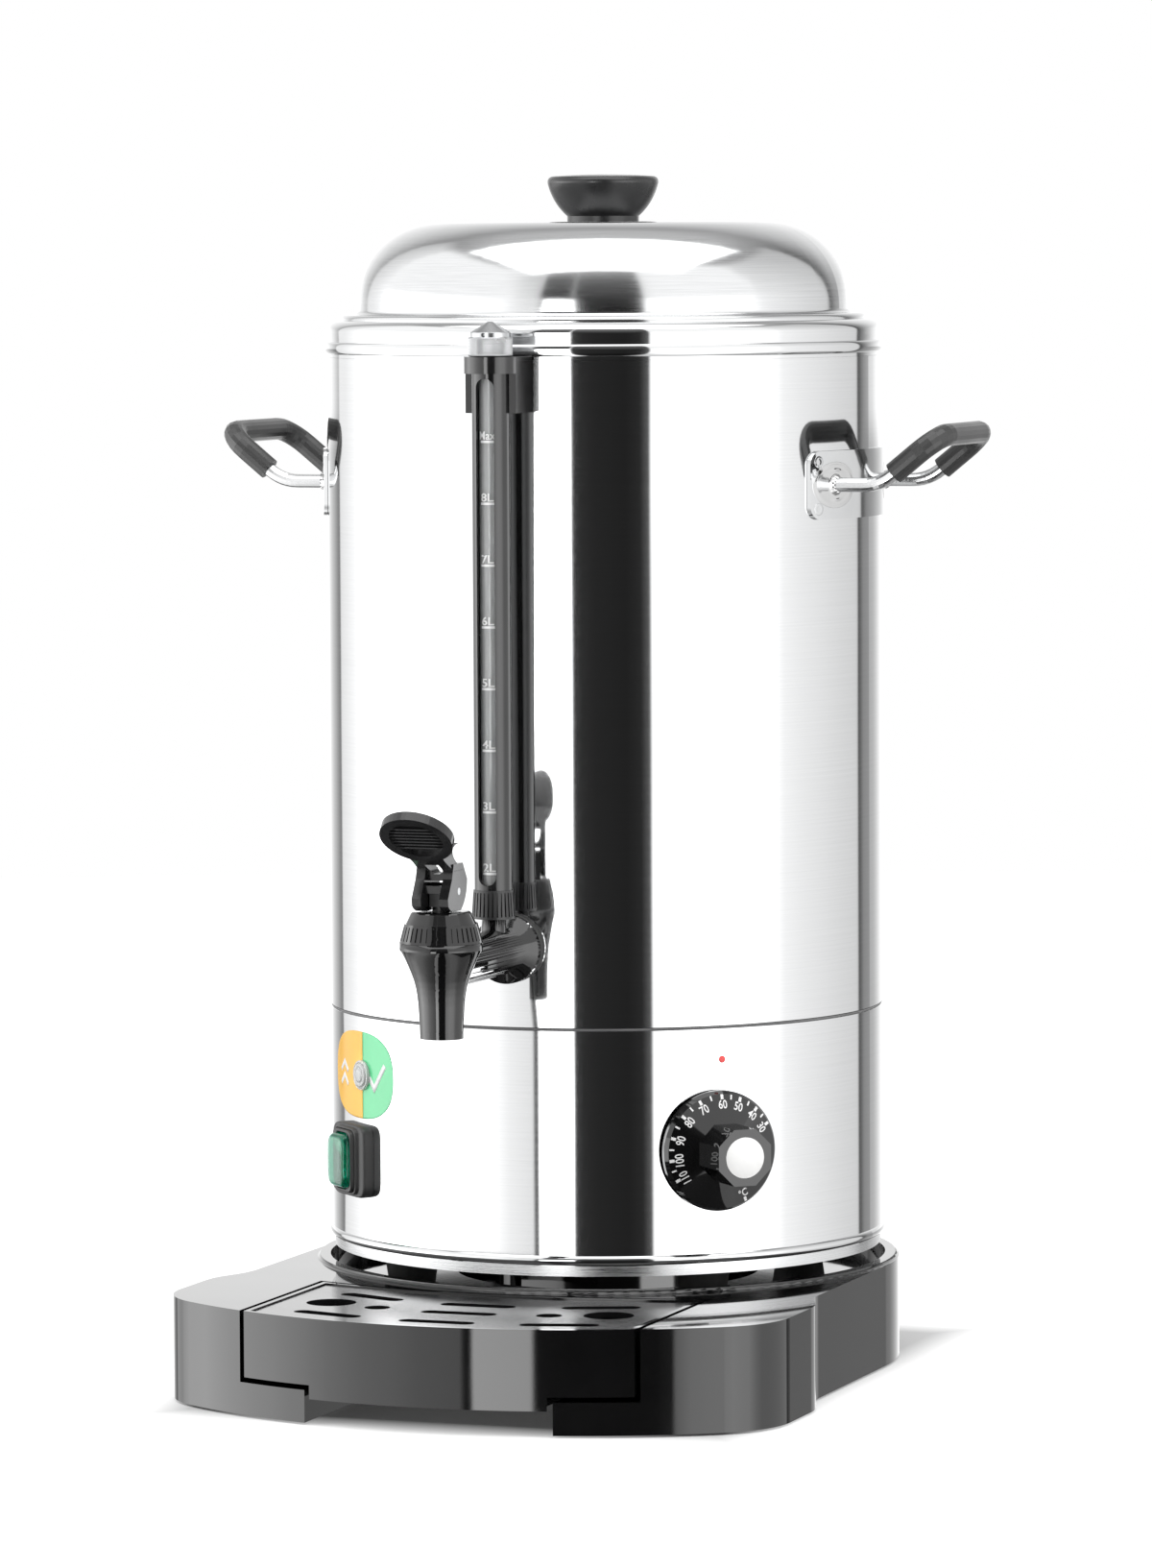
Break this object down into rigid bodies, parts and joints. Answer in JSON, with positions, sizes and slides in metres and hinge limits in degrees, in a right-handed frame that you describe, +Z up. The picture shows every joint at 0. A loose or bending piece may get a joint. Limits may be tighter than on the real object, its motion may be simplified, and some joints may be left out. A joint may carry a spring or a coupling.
{
  "type": "insulated beverage dispenser",
  "caption": "Double-walled heated drinks urn with a sight-gauge tap, thermostat dial, side handles and lift-off lid, on a drip stand with a slide-out tray.",
  "frame": {"origin": "on the surface that the stand rests on, under the middle of the whole footprint", "axes": "+Z up, -Y towards the tap and the drip tray, X through the side handles"},
  "size_m": [0.3336, 0.3694, 0.5141],
  "materials": {
    "polished_steel": "mirror polished stainless steel",
    "tank_steel": "satin stainless steel",
    "fitting_steel": "plain machined steel",
    "knurled_steel": "bright, finely knurled",
    "gloss_black": "glossy moulded",
    "satin_black": "fine satin grain",
    "black_rubber": "matt",
    "seat_rubber": "soft silicone",
    "clear_plastic": "clear",
    "white_plastic": "smooth",
    "ivory_plastic": "moulded",
    "green_plastic": "tinted, translucent",
    "spreader_alloy": "cast plate",
    "element_steel": "heat-darkened sheath",
    "bulb_copper": "drawn copper"
  },
  "bodies": {
    "stand": {"stand": "gloss_black", "stand_pads": "black_rubber"},
    "kettle": {"outer_shell": "polished_steel", "lower_housing": "polished_steel", "inner_tank": "tank_steel", "rim_collar": "polished_steel", "bottom_plate": "tank_steel", "kettle_feet": "black_rubber", "foot_screws": "fitting_steel", "centre_stud": "fitting_steel", "stud_nut": "fitting_steel", "heat_spreader": "spreader_alloy", "heating_element": "element_steel", "sensor_bulb": "bulb_copper", "thermal_cutout": "satin_black", "terminal_block": "ivory_plastic", "lead_inlet": "satin_black", "thermostat": "ivory_plastic", "thermostat_nut": "fitting_steel", "switch_boot": "satin_black", "switch_body": "satin_black", "lamp_lens": "clear_plastic", "lamp_body": "satin_black", "left_handle_plate": "polished_steel", "left_handle_rod": "polished_steel", "left_handle_grip": "satin_black", "right_handle_plate": "polished_steel", "right_handle_rod": "polished_steel", "right_handle_grip": "satin_black", "gauge_guard": "gloss_black", "gauge_tube": "clear_plastic", "gauge_bracket": "gloss_black", "bracket_screws": "fitting_steel", "gauge_cap": "knurled_steel", "gauge_nut": "satin_black", "gauge_seals": "black_rubber", "tap_body": "gloss_black", "tap_outer_washer": "black_rubber", "tap_inner_washer": "black_rubber", "tap_spacer": "fitting_steel", "tap_inner_nut": "satin_black", "tap_bonnet": "gloss_black", "tap_spring": "fitting_steel"},
    "drip_tray": {"drip_tray": "gloss_black"},
    "drip_grid": {"drip_grid": "satin_black"},
    "dial": {"thermostat_spindle": "fitting_steel", "thermostat_dial": "gloss_black", "dial_cap": "white_plastic"},
    "rocker": {"switch_rocker": "green_plastic"},
    "tap_stem": {"tap_stem": "satin_black", "tap_seat_cup": "seat_rubber", "lever_pin": "fitting_steel"},
    "tap_lever": {"tap_lever": "gloss_black"},
    "lid": {"lid": "polished_steel", "lid_knob": "satin_black", "knob_screw": "fitting_steel"}
  },
  "joints": [
    {"name": "kettle_lift", "type": "slide", "parent": "stand", "child": "kettle", "axis": [0, 0, 1], "range_m": [0, 0.06]},
    {"name": "lid_lift", "type": "slide", "parent": "kettle", "child": "lid", "axis": [0, 0, 1], "range_m": [0, 0.12]},
    {"name": "tray_slide", "type": "slide", "parent": "stand", "child": "drip_tray", "axis": [0, -1, 0], "range_m": [0, 0.11]},
    {"name": "grid_lift", "type": "slide", "parent": "drip_tray", "child": "drip_grid", "axis": [0, 0, 1], "range_m": [0, 0.04]},
    {"name": "dial_turn", "type": "hinge", "parent": "kettle", "child": "dial", "pos_m": [0.08128, -0.03195, 0.1035], "axis": [0.6717, -0.7408, 0], "range_deg": [-119.6, 152.7]},
    {"name": "rocker_tilt", "type": "hinge", "parent": "kettle", "child": "rocker", "pos_m": [-0.08711, -0.03127, 0.093], "axis": [0.7145, -0.6997, 0], "range_deg": [-18, 0]},
    {"name": "stem_lift", "type": "slide", "parent": "kettle", "child": "tap_stem", "axis": [0, 0, 1], "range_m": [0, 0.00418], "deforming": ["tap_spring"]},
    {"name": "lever_tilt", "type": "hinge", "parent": "tap_stem", "child": "tap_lever", "pos_m": [0, -0.14431, 0.2207], "axis": [1, 0, 0], "range_deg": [0, 40], "stiffness_Nm_per_rad": 0.05, "springref_deg": -51.57}
  ],
  "couplings": [
    {"joint": "lever_tilt", "follows": "stem_lift", "rad_per_m": 166.67}
  ]
}
